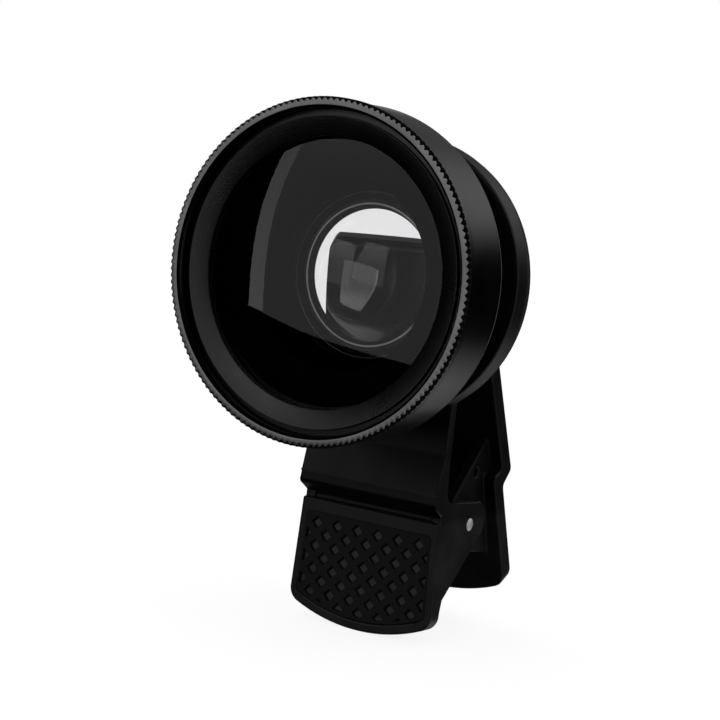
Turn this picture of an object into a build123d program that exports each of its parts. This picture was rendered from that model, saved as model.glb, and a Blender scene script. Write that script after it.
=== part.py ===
"""A clip-on phone lens: a wide lens screwed on a macro lens, screwed in turn into a sprung clip.

The lens axis is Y and the lens looks towards -Y. The back of the phone lies in the plane y = 0,
with its camera at the origin, and the clip hangs down along -Z. Everything is in millimetres.
"""

from build123d import *
import os
from math import atan2, cos, degrees, hypot, pi, radians, sin, sqrt, tan

os.makedirs("parts", exist_ok=True)

# Clearances and allowances
thread_clear = 0.05  # radial room between a male and a female thread
pin_clear = 0.04  # radial room of the hinge pin in the rear arm
fit_clear = 0.02  # room of a piece that is dropped or glued into its seat
ear_clear = 0.3  # side room between the two pairs of hinge ears
root_bite = 1.0  # depth to which a rib's outline runs into the sheet that carries it
through = 60.0  # more than the clip is deep, for outlines that go right through

# Clip ring and its rubber face
face_pad_thick = 1.4
face_pad_inset = 0.4
ring_r = 22.1
ring_thick = 4.2
mount_thread_r = 18.35  # 37 mm thread at its mean radius
edge_break = 0.35

# Macro lens
macro_grip_r = 19.9
macro_grip_length = 5.2
macro_knurl_count = 96
macro_knurl_length = 2.6
macro_knurl_depth = 0.4
macro_knurl_width = 0.52
spigot_length = 4.0
collar_length = 2.6
collar_wall = 1.2
macro_glass_r = 15.4
macro_glass_edge = 1.0
macro_surface_r = 40.0
macro_seat_width = 1.2
macro_seat_depth = 3.5  # from the back of the spigot to the shoulder under the glass
macro_ring_length = 3.0
flare_width = 1.6

# Wide lens
neck_length = 3.3
shoulder_length = 3.2
barrel_wall = 1.4
barrel_chamfer = 0.4
barrel_length = 10.5
rim_proud = 0.25
knurl_count = 156
knurl_length = 1.5
knurl_depth = 0.45
knurl_width = 0.7
filter_thread_r = 24.1  # 49 mm filter thread at its minor radius
filter_thread_length = 1.2
thread_relief = 0.25  # depth of the groove that ends the filter thread
bezel_lip_depth = 1.25
bezel_lip_height = 0.75
bezel_shelf = 1.0  # width of the flat step outside the lip
bezel_overlap = 1.35  # how far the bevelled ring reaches over the glass
bezel_inner_depth = 2.2
bezel_seat_depth = 3.4
glass_ledge = 2.6  # step between the filter thread and the glass
wide_glass_back = 10.75  # depth of the ground back face under the rim
wide_front_r = 160.0
wide_bowl_r = 20.0
bowl_half_width = 14.2
glass_seat_width = 1.9

# Arms of the clip
arm_width = 25.0
handle_flare = 0.65  # how far each side of a handle spreads beyond the arm
pin_y = 8.0
pin_z = -38.3
pin_r = 1.05
pin_dome = 0.35
front_face_y = -3.2
sheet_back_y = -1.2
bend_z = -26.3
kink_front_y = -4.55
kink_z = (-32.8, -34.7)  # upper and lower end of the bulge above the handle
groove_y = -1.9
groove_z = (-36.5, -37.1)
front_bend_radii = (4.0, 2.5, 1.0, 0.4, 0.25, 0.3)  # bend, bulge, groove and top of the handle
handle_face_y = -2.7
handle_thick = 3.0
handle_top = 0.8  # heights from here on are measured from the hinge pin
handle_bottom = -18.7
handle_arc_rise = 3.15
handle_corner_r = 2.5
back_bend = (0.5, 4.5)  # heights between which the back of the arm sheet runs on to the handle
ear_thick = 1.8
front_ear_root = 8.3
front_ear_web = 4.0
front_ear_web_y = -0.9
front_ear_nose = (5.35, 3.55)
front_ear_chin = (5.15, -1.0)
front_ear_foot = -11.7
front_ear_radii = (0.5, 2.2, 3.0, 2.4, 0.8)  # root, web, nose, chin and foot

# Rubber grip pads
grip_depth = 1.2
grip_proud = 0.1
grip_side = 1.1
grip_top = 1.9
grip_bottom = 1.6
grip_corner_rise = 1.25
grip_corner_r = 0.8
pocket_pitch = 3.75
pocket_side = 1.4
pocket_depth = 0.55
pocket_border = 0.45
pocket_lift = 0.42

# Rear arm: v is measured out from the pin, u up along the arm
rest_lean = 28.0
jaw_bend = 16.0
rear_handle_tilt = 6.8  # degrees that the handle leans back towards the front handle
rear_handle_v = 12.0  # outer face of the handle at its upper end
rear_plate_v = 15.35
rear_plate_thick = 3.1
rear_handle_thick = 3.0
rear_handle_bottom = -19.7
rear_step_u = (0.0, 1.1, 3.0)  # lower and upper end of the outer step, and the inner step
rear_step_radii = (1.0, 1.2, 0.8, 0.8)  # outer step, then inner step
jaw_start_u = 24.5
jaw_length = 17.2
jaw_bend_r = 3.0
jaw_corner_r = 3.5
jaw_pad_thick = 3.4
jaw_pad_inset = 0.9
jaw_pad_length = 15.2
jaw_pad_edge_r = 0.8
rear_nose_r = 3.5
nose_rounding = 0.9  # share of the nose's half height that each of its corners takes
rear_ear_top_u = 9.0
rear_ear_foot_u = -11.0
heel_height = 2.2
heel_gap = 0.1
leg_hole = (7.4, 4.9)
leg_hole_r = 0.75
leg_hole_depth = 0.8

# Torsion spring
spring_wire_r = 0.45
spring_mean_r = 2.6
spring_turns = 6
spring_pitch = 1.15
spring_leg_u = -10.0
spring_leg_gap = 0.1


def sag(surface_r, half_width):
    """Depth of a spherical surface between its vertex and a given half width."""
    return surface_r - sqrt(surface_r**2 - half_width**2)


# Places along the lens axis, from the phone forwards
ring_back = -face_pad_thick
ring_front = ring_back - ring_thick
grip_front = ring_front - macro_grip_length
neck_front = grip_front - neck_length
shoulder_front = neck_front - shoulder_length
rim_front = shoulder_front - barrel_chamfer - barrel_length
collar_front = grip_front - collar_length
spigot_back = ring_front + spigot_length
spigot_r = mount_thread_r - thread_clear
collar_r = macro_glass_r + collar_wall
socket_r = collar_r + thread_clear
macro_aperture_r = macro_glass_r - macro_seat_width
flare_r = macro_aperture_r + flare_width
barrel_r = filter_thread_r + barrel_wall
rim_r = barrel_r + rim_proud
wide_glass_r = filter_thread_r - glass_ledge
bezel_inner_r = wide_glass_r - bezel_overlap
bezel_outer_r = filter_thread_r - thread_clear
bezel_lip_r = bezel_outer_r - bezel_shelf
bezel_step = rim_front + bezel_lip_depth + bezel_lip_height
filter_thread_end = rim_front + filter_thread_length

# Places of the macro glass
macro_seat = spigot_back - macro_seat_depth
macro_back_vertex = macro_seat - fit_clear + sag(macro_surface_r, macro_aperture_r)
macro_back_edge = macro_back_vertex - sag(macro_surface_r, macro_glass_r)
macro_front_edge = macro_back_edge - macro_glass_edge
macro_front_vertex = macro_front_edge - sag(macro_surface_r, macro_glass_r)
macro_ring_back = macro_front_vertex + sag(macro_surface_r, macro_aperture_r) - fit_clear

# Places of the wide glass
bezel_back = rim_front + bezel_seat_depth
wide_front_vertex = bezel_back + fit_clear - sag(wide_front_r, bezel_inner_r)
wide_front_edge = wide_front_vertex + sag(wide_front_r, wide_glass_r)
wide_back = rim_front + wide_glass_back
bowl_vertex = wide_back - sag(wide_bowl_r, bowl_half_width)
glass_seat_r = wide_glass_r - glass_seat_width

# Planes of the two arms, each with its origin on the hinge pin
lean = radians(rest_lean)
out_of_rear_arm = (0, cos(lean), sin(lean))
front_view = Plane(origin=(0, 0, pin_z), x_dir=(1, 0, 0), z_dir=(0, -1, 0))
side_view = Plane.YZ
rear_side_view = Plane(origin=(0, pin_y, pin_z), x_dir=out_of_rear_arm, z_dir=(1, 0, 0))
rear_view = Plane(origin=(0, pin_y, pin_z), x_dir=(-1, 0, 0), z_dir=out_of_rear_arm)
hinge_axis = Axis((0, pin_y, pin_z), (1, 0, 0))
arm_half = arm_width / 2
handle_half = arm_half + handle_flare
front_ear_in = arm_half - ear_thick
rear_ear_out = front_ear_in - ear_clear
rear_ear_in = rear_ear_out - ear_thick
handle_back_y = handle_face_y + handle_thick
rear_inner_v = rear_plate_v - rear_plate_thick

# Face of the rear handle, with its origin at the step
handle_lean = radians(rest_lean - rear_handle_tilt)
rear_handle_view = Plane(
    origin=(0, pin_y + rear_handle_v * cos(lean), pin_z + rear_handle_v * sin(lean)),
    x_dir=(-1, 0, 0),
    z_dir=(0, cos(handle_lean), sin(handle_lean)),
)


def rear_handle_at(height, depth=0):
    """Place (v, u) of the rear handle at a height above the pin and a depth below its outer face."""
    tilt = radians(rear_handle_tilt)
    return rear_handle_v + height * tan(tilt) - depth / cos(tilt), height


# The jaw leaves the rear arm at the bend, and its face is parallel to the sketch plane jaw_face
bend = radians(jaw_bend)
jaw_outer_tip = (rear_plate_v + jaw_length * sin(bend), jaw_start_u + jaw_length * cos(bend))
jaw_inner_tip = (
    jaw_outer_tip[0] - rear_plate_thick * cos(bend),
    jaw_outer_tip[1] + rear_plate_thick * sin(bend),
)
jaw_tip_y = pin_y + jaw_inner_tip[0] * cos(lean) - jaw_inner_tip[1] * sin(lean)
jaw_tip_z = pin_z + jaw_inner_tip[0] * sin(lean) + jaw_inner_tip[1] * cos(lean)
jaw_face = Plane(
    origin=(0, jaw_tip_y, jaw_tip_z), x_dir=(1, 0, 0), z_dir=(0, -cos(lean - bend), -sin(lean - bend))
)

# The spring's legs are tangent to its coil, and their feet lie on the two handles
leg_stand_off = spring_wire_r + spring_leg_gap
front_leg_foot = (handle_back_y + leg_stand_off, pin_z + spring_leg_u)
rear_leg_v = rear_handle_at(spring_leg_u, rear_handle_thick + leg_stand_off)[0]
rear_leg_foot = (
    pin_y + rear_leg_v * cos(lean) - spring_leg_u * sin(lean),
    pin_z + rear_leg_v * sin(lean) + spring_leg_u * cos(lean),
)


def tangent_angle(foot, turn):
    """Angle at which a leg leaves the coil for its foot, with the coil behind (-1) or ahead (1)."""
    away = hypot(foot[0] - pin_y, foot[1] - pin_z)
    straight = sqrt(away**2 - spring_mean_r**2)
    return atan2(foot[1] - pin_z, foot[0] - pin_y) + turn * atan2(straight, spring_mean_r)


coil_start = tangent_angle(front_leg_foot, -1)
coil_sweep = (coil_start - tangent_angle(rear_leg_foot, 1)) % (2 * pi)
coil_length = spring_pitch * (spring_turns + coil_sweep / (2 * pi))


def half_width_at(height):
    """Half width of an arm at a height above the pin: straight, then flaring down the handle."""
    flare = (handle_top - height) / (handle_top - handle_bottom - handle_arc_rise)
    return arm_half + (handle_half - arm_half) * max(0.0, flare)


def arm_outline(plane, top, top_corner_r, bottom):
    """Front outline of an arm down to the rounded end of its handle."""
    corner = bottom + handle_arc_rise
    with BuildSketch(plane) as outline:
        with BuildLine():
            Polyline(
                (-handle_half, corner),
                (-arm_half, handle_top),
                (-arm_half, top),
                (arm_half, top),
                (arm_half, handle_top),
                (handle_half, corner),
            )
            ThreePointArc((handle_half, corner), (0, bottom), (-handle_half, corner))
        make_face()
        fillet(outline.vertices().group_by(Axis.Y)[-1], top_corner_r)
        fillet(outline.vertices().group_by(Axis.Y)[0], handle_corner_r)
    return outline.sketch


def grip_outline(plane, inset, handle_end):
    """Outline of a grip pad, moved in from the pad's full size by an inset."""
    top = handle_top - grip_top - inset
    corner = handle_end + handle_arc_rise + grip_corner_rise + inset
    bottom = handle_end + grip_bottom + inset
    top_half = half_width_at(top) - grip_side - inset
    low_half = half_width_at(corner) - grip_side - inset
    with BuildSketch(plane) as outline:
        with BuildLine():
            Polyline((-low_half, corner), (-top_half, top), (top_half, top), (low_half, corner))
            ThreePointArc((low_half, corner), (0, bottom), (-low_half, corner))
        make_face()
        fillet(outline.vertices(), grip_corner_r)
    return outline.sketch


def grip_pockets(plane, handle_end):
    """Two staggered grids of diamond pockets, trimmed by the plain border of the pad."""
    with BuildSketch(plane) as pockets:
        middle = (handle_top + handle_end) / 2 + pocket_lift
        half_pitch = pocket_pitch / 2
        columns = int(arm_width / pocket_pitch) + 2
        rows = int((handle_top - handle_end) / pocket_pitch) + 1
        for shift, row_count in ((0, rows), (-half_pitch, rows - 2)):
            with Locations((shift, middle + shift)):
                with GridLocations(pocket_pitch, pocket_pitch, columns, row_count):
                    Rectangle(pocket_side, pocket_side, rotation=45)
        add(grip_outline(Plane.XY, pocket_border, handle_end), mode=Mode.INTERSECT)
    return pockets.sketch


def front_ear_profile(plane):
    """Side outline of a front ear: a concave root, a round nose over the pin and a long chin."""
    inside_y = sheet_back_y - root_bite
    foot_z = pin_z + front_ear_foot
    with BuildSketch(plane) as ear_profile:
        with BuildLine():
            FilletPolyline(
                (inside_y, pin_z + front_ear_root),
                (sheet_back_y, pin_z + front_ear_root),
                (front_ear_web_y, pin_z + front_ear_web),
                (pin_y + front_ear_nose[0], pin_z + front_ear_nose[1]),
                (pin_y + front_ear_chin[0], pin_z + front_ear_chin[1]),
                (handle_back_y, foot_z),
                (handle_back_y - root_bite, foot_z),
                (inside_y, pin_z),
                radius=[0, *front_ear_radii, 0, 0],
                close=True,
            )
        make_face()
    return ear_profile.sketch


def rear_ear_profile(plane):
    """Side outline of a rear ear, from the arm sheet to its round nose over the pin."""
    corner_r = nose_rounding * rear_nose_r
    foot_v = rear_handle_at(rear_ear_foot_u, rear_handle_thick)[0]
    with BuildSketch(plane) as ear_profile:
        with BuildLine():
            FilletPolyline(
                (rear_inner_v + root_bite, rear_ear_top_u),
                (-rear_nose_r, rear_nose_r),
                (-rear_nose_r, -rear_nose_r),
                (foot_v, rear_ear_foot_u),
                (foot_v + root_bite, rear_ear_foot_u),
                (rear_inner_v + root_bite / 2, rear_step_u[2]),
                radius=[0, corner_r, corner_r, 0, 0, 0],
                close=True,
            )
        make_face()
    return ear_profile.sketch


def pin_circle(plane, radius):
    """A circle round the hinge axis, in a plane across the pin."""
    with BuildSketch(plane) as circle:
        with Locations((pin_y, pin_z)):
            Circle(radius)
    return circle.sketch


def notches(plane, radius, count, width, depth):
    """A ring of V notches that point at the axis, as cut by a knurling wheel."""
    with BuildSketch(plane) as ring:
        with PolarLocations(radius, count):
            Polygon((depth, width), (-depth, 0), (depth, -width), align=None)
    return ring.sketch


# Wide lens: barrel with the knurled rim in front and the socket for the macro lens behind
with BuildPart() as wide_barrel:
    with BuildSketch(Plane.XY):
        with BuildLine():
            Polyline(
                (socket_r, grip_front),
                (macro_grip_r, grip_front),
                (macro_grip_r, neck_front),
                (barrel_r - barrel_chamfer, shoulder_front),
                (barrel_r, shoulder_front - barrel_chamfer),
                (barrel_r, rim_front + knurl_length),
                (rim_r, rim_front + knurl_length),
                (rim_r, rim_front),
                (filter_thread_r, rim_front),
                (filter_thread_r, filter_thread_end),
                (filter_thread_r + thread_relief, filter_thread_end),
                (filter_thread_r + thread_relief, bezel_step),
                (filter_thread_r, bezel_step),
                (filter_thread_r, wide_front_edge),
                (wide_glass_r + fit_clear, wide_front_edge),
                (wide_glass_r + fit_clear, wide_back + fit_clear),
                (glass_seat_r, wide_back + fit_clear),
                (socket_r, collar_front - fit_clear),
                close=True,
            )
        make_face()
    revolve(axis=Axis.Y)
    rim_notches = notches(Plane.XZ.offset(-rim_front), rim_r, knurl_count, knurl_width, knurl_depth)
    extrude(rim_notches, amount=-knurl_length, mode=Mode.SUBTRACT)

# Bevelled ring that holds the wide glass down
with BuildPart() as front_retaining_ring:
    with BuildSketch(Plane.XY):
        with BuildLine():
            Polyline(
                (bezel_outer_r, bezel_back),
                (bezel_outer_r, bezel_step),
                (bezel_lip_r, bezel_step),
                (bezel_lip_r, rim_front + bezel_lip_depth),
                (bezel_inner_r, rim_front + bezel_inner_depth),
                (bezel_inner_r, bezel_back),
                close=True,
            )
        make_face()
    revolve(axis=Axis.Y)

# Negative front lens: gently domed in front, with a deep bowl ground into its back
with BuildPart() as front_lens:
    with BuildSketch(Plane.XY):
        with BuildLine():
            half = wide_glass_r / 2
            ThreePointArc(
                (0, wide_front_vertex),
                (half, wide_front_vertex + sag(wide_front_r, half)),
                (wide_glass_r, wide_front_edge),
            )
            Polyline((wide_glass_r, wide_front_edge), (wide_glass_r, wide_back), (bowl_half_width, wide_back))
            half = bowl_half_width / 2
            ThreePointArc(
                (bowl_half_width, wide_back),
                (half, bowl_vertex + sag(wide_bowl_r, half)),
                (0, bowl_vertex),
            )
            Line((0, bowl_vertex), (0, wide_front_vertex))
        make_face()
    revolve(axis=Axis.Y)

# Macro lens: grip ring with a threaded collar in front and a threaded spigot behind
with BuildPart() as macro_barrel:
    with BuildSketch(Plane.XY):
        with BuildLine():
            Polyline(
                (macro_glass_r + fit_clear, collar_front),
                (collar_r, collar_front),
                (collar_r, grip_front),
                (macro_grip_r, grip_front),
                (macro_grip_r, ring_front),
                (spigot_r, ring_front),
                (spigot_r, spigot_back),
                (flare_r, spigot_back),
                (macro_aperture_r, macro_seat),
                (macro_glass_r + fit_clear, macro_seat),
                close=True,
            )
        make_face()
    revolve(axis=Axis.Y)
    knurl_plane = Plane.XZ.offset(-(grip_front + ring_front - macro_knurl_length) / 2)
    grip_notches = notches(
        knurl_plane, macro_grip_r, macro_knurl_count, macro_knurl_width, macro_knurl_depth
    )
    extrude(grip_notches, amount=-macro_knurl_length, mode=Mode.SUBTRACT)

# Biconvex macro glass
with BuildPart() as macro_lens:
    with BuildSketch(Plane.XY):
        with BuildLine():
            half = macro_glass_r / 2
            ThreePointArc(
                (0, macro_front_vertex),
                (half, macro_front_vertex + sag(macro_surface_r, half)),
                (macro_glass_r, macro_front_edge),
            )
            Line((macro_glass_r, macro_front_edge), (macro_glass_r, macro_back_edge))
            ThreePointArc(
                (macro_glass_r, macro_back_edge),
                (half, macro_back_vertex - sag(macro_surface_r, half)),
                (0, macro_back_vertex),
            )
            Line((0, macro_back_vertex), (0, macro_front_vertex))
        make_face()
    revolve(axis=Axis.Y)

# Ring that holds the macro glass on its shoulder
with BuildPart() as macro_retaining_ring:
    with BuildSketch(Plane.XZ.offset(-macro_ring_back)):
        Circle(macro_glass_r)
        Circle(macro_aperture_r, mode=Mode.SUBTRACT)
    extrude(amount=macro_ring_length)

# Rubber ring that rests on the phone
with BuildPart() as front_jaw_pad:
    with BuildSketch(Plane.XZ.offset(-ring_back)):
        Circle(ring_r - face_pad_inset)
        Circle(mount_thread_r + face_pad_inset, mode=Mode.SUBTRACT)
    extrude(amount=-face_pad_thick)
    fillet(front_jaw_pad.edges().group_by(Axis.Y)[-1], edge_break)

# Front arm of the clip: arm sheet with its kink, handle, outer pair of ears and lens ring
with BuildPart() as front_arm:
    with BuildSketch(side_view):
        with BuildLine():
            FilletPolyline(
                (front_face_y, -mount_thread_r),
                (front_face_y, bend_z),
                (kink_front_y, kink_z[0]),
                (kink_front_y, kink_z[1]),
                (groove_y, groove_z[0]),
                (groove_y, groove_z[1]),
                (handle_face_y, pin_z + handle_top),
                (handle_face_y, pin_z + handle_bottom),
                (handle_back_y, pin_z + handle_bottom),
                (handle_back_y, pin_z + back_bend[0]),
                (sheet_back_y, pin_z + back_bend[1]),
                (sheet_back_y, bend_z),
                (ring_back, -ring_r),
                (ring_back, -mount_thread_r),
                radius=[0, *front_bend_radii, 0, 0, 0, 0, 0, 0, 0],
                close=True,
            )
        make_face()
    extrude(amount=handle_half, both=True)
    for side in (1, -1):
        ear = front_ear_profile(side_view.offset(side * front_ear_in))
        extrude(ear, amount=side * (handle_half - front_ear_in))
    front_outline = arm_outline(front_view, -pin_z, handle_corner_r, handle_bottom)
    extrude(front_outline, amount=through, both=True, mode=Mode.INTERSECT)
    with BuildSketch(Plane.XY):
        with BuildLine():
            Polyline(
                (mount_thread_r, ring_back),
                (ring_r - edge_break, ring_back),
                (ring_r, ring_back - edge_break),
                (ring_r, ring_front + edge_break),
                (ring_r - edge_break, ring_front),
                (mount_thread_r, ring_front),
                close=True,
            )
        make_face()
    revolve(axis=Axis.Y)
    with BuildSketch(Plane.XZ.offset(-ring_back)):
        Circle(mount_thread_r)
    extrude(amount=ring_thick, mode=Mode.SUBTRACT)
    recess = grip_outline(front_view.offset(-handle_face_y), -fit_clear, handle_bottom)
    extrude(recess, amount=-grip_depth, mode=Mode.SUBTRACT)
    extrude(pin_circle(side_view, pin_r + fit_clear), amount=arm_width, both=True, mode=Mode.SUBTRACT)

# Rubber grip pad of the front handle
with BuildPart() as front_grip_pad:
    front_recess = front_view.offset(-handle_face_y - grip_depth)
    extrude(grip_outline(front_recess, 0, handle_bottom), amount=grip_depth + grip_proud)
    front_pockets = grip_pockets(front_recess.offset(grip_depth + grip_proud), handle_bottom)
    extrude(front_pockets, amount=-pocket_depth, mode=Mode.SUBTRACT)

# Rear arm of the clip: arm sheet bent into a jaw, handle and the inner pair of ears
with BuildPart() as rear_arm:
    with BuildSketch(rear_side_view):
        with BuildLine():
            FilletPolyline(
                rear_handle_at(rear_handle_bottom),
                rear_handle_at(rear_step_u[0]),
                (rear_plate_v, rear_step_u[1]),
                (rear_plate_v, jaw_start_u),
                jaw_outer_tip,
                jaw_inner_tip,
                (rear_inner_v, jaw_start_u + rear_plate_thick * tan(bend / 2)),
                (rear_inner_v, rear_step_u[2]),
                rear_handle_at(rear_step_u[2], rear_handle_thick),
                rear_handle_at(rear_handle_bottom, rear_handle_thick),
                radius=[0, *rear_step_radii[:2], jaw_bend_r, 0, 0, 0, *rear_step_radii[2:], 0],
                close=True,
            )
        make_face()
    extrude(amount=handle_half, both=True)
    rear_outline = arm_outline(rear_view, jaw_inner_tip[1], jaw_corner_r, rear_handle_bottom)
    extrude(rear_outline, amount=through, both=True, mode=Mode.INTERSECT)
    for side in (1, -1):
        ear = rear_ear_profile(rear_side_view.offset(side * rear_ear_in))
        extrude(ear, amount=side * ear_thick)
        with BuildSketch(side_view.offset(side * rear_ear_in)):
            with Locations((handle_back_y + heel_gap, pin_z)):
                Rectangle(pin_y - handle_back_y - heel_gap, heel_height, align=Align.MIN)
        extrude(amount=side * ear_thick)
        with BuildSketch(rear_side_view.offset(side * rear_ear_out)):
            with Locations(leg_hole):
                Circle(leg_hole_r)
        extrude(amount=-side * leg_hole_depth, mode=Mode.SUBTRACT)
    recess = grip_outline(rear_handle_view, -fit_clear, rear_handle_bottom)
    extrude(recess, amount=-grip_depth, mode=Mode.SUBTRACT)
    extrude(pin_circle(side_view, pin_r + pin_clear), amount=arm_width, both=True, mode=Mode.SUBTRACT)

# Rubber grip pad of the rear handle
with BuildPart() as rear_grip_pad:
    rear_recess = rear_handle_view.offset(-grip_depth)
    extrude(grip_outline(rear_recess, 0, rear_handle_bottom), amount=grip_depth + grip_proud)
    rear_pockets = grip_pockets(rear_recess.offset(grip_depth + grip_proud), rear_handle_bottom)
    extrude(rear_pockets, amount=-pocket_depth, mode=Mode.SUBTRACT)

# Rubber cushion of the rear jaw
with BuildPart() as rear_jaw_pad:
    with BuildSketch(jaw_face):
        with Locations((0, -jaw_pad_inset - jaw_pad_length / 2)):
            RectangleRounded(arm_width - 2 * jaw_pad_inset, jaw_pad_length, jaw_corner_r - jaw_pad_inset)
    extrude(amount=jaw_pad_thick)
    fillet(rear_jaw_pad.faces().sort_by(Axis.Y)[0].edges(), jaw_pad_edge_r)

# Riveted hinge pin with domed ends
with BuildPart() as hinge_pin:
    extrude(pin_circle(side_view, pin_r), amount=arm_half + pin_dome, both=True)
    fillet(hinge_pin.edges().group_by(Axis.X)[0], pin_dome)
    fillet(hinge_pin.edges().group_by(Axis.X)[-1], pin_dome)

# Torsion spring: one wire that runs up its front leg, round the coil and down its rear leg
with BuildPart() as torsion_spring:
    with BuildLine() as wire:
        end = (-coil_length / 2, pin_y, pin_z)
        drawn = Helix(
            spring_pitch, coil_length, spring_mean_r, end, (1, 0, 0), lefthand=True, mode=Mode.PRIVATE
        )
        drawn_start = atan2((drawn @ 0).Z - pin_z, (drawn @ 0).Y - pin_y)
        coil = drawn.rotate(hinge_axis, degrees(coil_start - drawn_start))
        Line(((coil @ 0).X, *front_leg_foot), coil @ 0)
        add(coil)
        Line(coil @ 1, ((coil @ 1).X, *rear_leg_foot))
    with BuildSketch(Plane(origin=wire.line @ 0, z_dir=wire.line % 0)):
        Circle(spring_wire_r)
    sweep(path=wire.line)

pieces = {
    "wide_barrel": wide_barrel,
    "front_retaining_ring": front_retaining_ring,
    "front_lens": front_lens,
    "macro_barrel": macro_barrel,
    "macro_lens": macro_lens,
    "macro_retaining_ring": macro_retaining_ring,
    "front_jaw_pad": front_jaw_pad,
    "front_arm": front_arm,
    "front_grip_pad": front_grip_pad,
    "rear_arm": rear_arm,
    "rear_grip_pad": rear_grip_pad,
    "rear_jaw_pad": rear_jaw_pad,
    "hinge_pin": hinge_pin,
    "torsion_spring": torsion_spring,
}
for name, piece in pieces.items():
    piece.part.label = name
    export_step(piece.part, f"parts/{name}.step")
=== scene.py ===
# %% [markdown]
# # A clip-on phone lens
# The object is a wide lens screwed on a macro lens, which is screwed into the ring of a sprung clip.
# Nearly all of it is black, so its look comes from reflections: a bright cut rim with knurled teeth,
# a satin barrel, a sand-blasted ring, clear glass, and matte rubber pads. The construction model gives
# the frame, and each step below dresses one piece of it in the same place.

# %% Load the frame
import bmesh
import bpy
from math import atan2, cos, pi, radians, sin, sqrt
from mathutils import Matrix, Vector
from mathutils.bvhtree import BVHTree


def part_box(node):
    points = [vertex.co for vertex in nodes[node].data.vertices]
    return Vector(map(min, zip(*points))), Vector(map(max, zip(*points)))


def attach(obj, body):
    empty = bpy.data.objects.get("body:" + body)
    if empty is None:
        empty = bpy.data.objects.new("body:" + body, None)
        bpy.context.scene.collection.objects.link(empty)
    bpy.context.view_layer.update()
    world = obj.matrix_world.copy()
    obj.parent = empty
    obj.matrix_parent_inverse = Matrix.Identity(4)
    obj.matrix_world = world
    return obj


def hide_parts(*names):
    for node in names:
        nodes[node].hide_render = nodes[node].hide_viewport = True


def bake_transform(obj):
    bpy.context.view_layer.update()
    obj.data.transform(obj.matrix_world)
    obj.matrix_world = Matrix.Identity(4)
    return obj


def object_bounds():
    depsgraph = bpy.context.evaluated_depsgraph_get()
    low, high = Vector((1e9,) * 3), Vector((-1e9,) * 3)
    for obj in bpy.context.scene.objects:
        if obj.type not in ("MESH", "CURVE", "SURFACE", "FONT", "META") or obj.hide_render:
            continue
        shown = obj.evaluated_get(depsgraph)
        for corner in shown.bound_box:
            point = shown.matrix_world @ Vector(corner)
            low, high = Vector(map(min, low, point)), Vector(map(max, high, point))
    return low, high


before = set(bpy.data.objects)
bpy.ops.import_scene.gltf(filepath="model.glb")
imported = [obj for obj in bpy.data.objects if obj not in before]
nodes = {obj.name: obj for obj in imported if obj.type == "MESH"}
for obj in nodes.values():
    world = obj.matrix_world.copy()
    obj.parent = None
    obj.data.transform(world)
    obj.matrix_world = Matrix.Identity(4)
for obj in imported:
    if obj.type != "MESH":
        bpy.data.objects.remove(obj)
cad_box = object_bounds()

MM = 0.001
print("pieces in the frame:", sorted(nodes))

# %% [markdown]
# ## Camera
# The photograph was taken from the front right, a little above the lens axis, with the camera rolled
# by a few degrees. The place and the three directions of the camera are real sizes and angles, so any
# other view of the part stays true. A long lens keeps the circles nearly free of perspective.

# %% Camera
camera_place = Vector((153.522, -276.639, 14.267)) * MM
camera_azimuth, camera_elevation, camera_roll = radians(30.08), radians(5.12), radians(6.96)
camera_lens, camera_sensor, camera_near = 100.0, 36.0, 0.01


def camera_axes(azimuth, elevation, roll):
    """Right, up and backward directions of a camera turned round the upright axis, raised and rolled."""
    back = Vector((sin(azimuth) * cos(elevation), -cos(azimuth) * cos(elevation), sin(elevation)))
    level = Vector((cos(azimuth), sin(azimuth), 0))
    upright = back.cross(level)
    right = level * cos(roll) + upright * sin(roll)
    return right, back.cross(right), back


def make_camera():
    data = bpy.data.cameras.new("photo_camera")
    data.lens, data.sensor_width, data.clip_start = camera_lens, camera_sensor, camera_near
    camera = bpy.data.objects.new("photo_camera", data)
    bpy.context.scene.collection.objects.link(camera)
    turn = Matrix(camera_axes(camera_azimuth, camera_elevation, camera_roll)).transposed().to_4x4()
    camera.matrix_world = Matrix.Translation(camera_place) @ turn
    bpy.context.scene.camera = camera


make_camera()
print("camera", round(camera_place.length / MM), "mm from the origin")

# %% [markdown]
# ## Light and background
# A black object shows its form by what it mirrors, so the light is made of things to mirror: a softbox
# in front on the left, placed so that the domed front glass shows it as a tilted rectangle, and a room
# with bright and dark parts. The background that the camera sees is plain white.

# %% [markdown]
# A shader is a graph of nodes. These helpers keep such graphs short to write: `node` adds one node and
# sets its inputs, and a link is made where an input is given another node's output.

# %% Helpers for node graphs
def node(tree, kind, settings=(), **inputs):
    """Adds a node. Inputs are named as in the node, with spaces as underscores, or by number as i0, i1."""
    made = tree.nodes.new(kind)
    for key, value in dict(settings).items():
        setattr(made, key, value)
    for key, value in inputs.items():
        numbered = key[0] == "i" and key[1:].isdigit()
        socket = made.inputs[int(key[1:])] if numbered else made.inputs[key.replace("_", " ")]
        if isinstance(value, bpy.types.NodeSocket):
            tree.links.new(value, socket)
        else:
            socket.default_value = value
    return made


def maths(tree, operation, *values):
    """Output of a Math node."""
    numbers = {f"i{i}": value for i, value in enumerate(values)}
    return node(tree, "ShaderNodeMath", {"operation": operation}, **numbers).outputs[0]


def ramp(tree, value, low, high, to_low=0.0, to_high=1.0):
    """Output of a smooth Map Range node."""
    smooth = {"interpolation_type": "SMOOTHSTEP"}
    inputs = {"From_Min": low, "From_Max": high, "To_Min": to_low, "To_Max": to_high}
    return node(tree, "ShaderNodeMapRange", smooth, Value=value, **inputs).outputs[0]


# %% [markdown]
# The softbox is a flat sheet that glows. Its left side is bowed like the edge of a hung diffuser, and a
# brighter strip runs down that side, where the lamp behind it is nearest. A smooth curve through a few
# places draws the bow, so it can be bent by moving one of them. Only reflections show the softbox.

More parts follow.
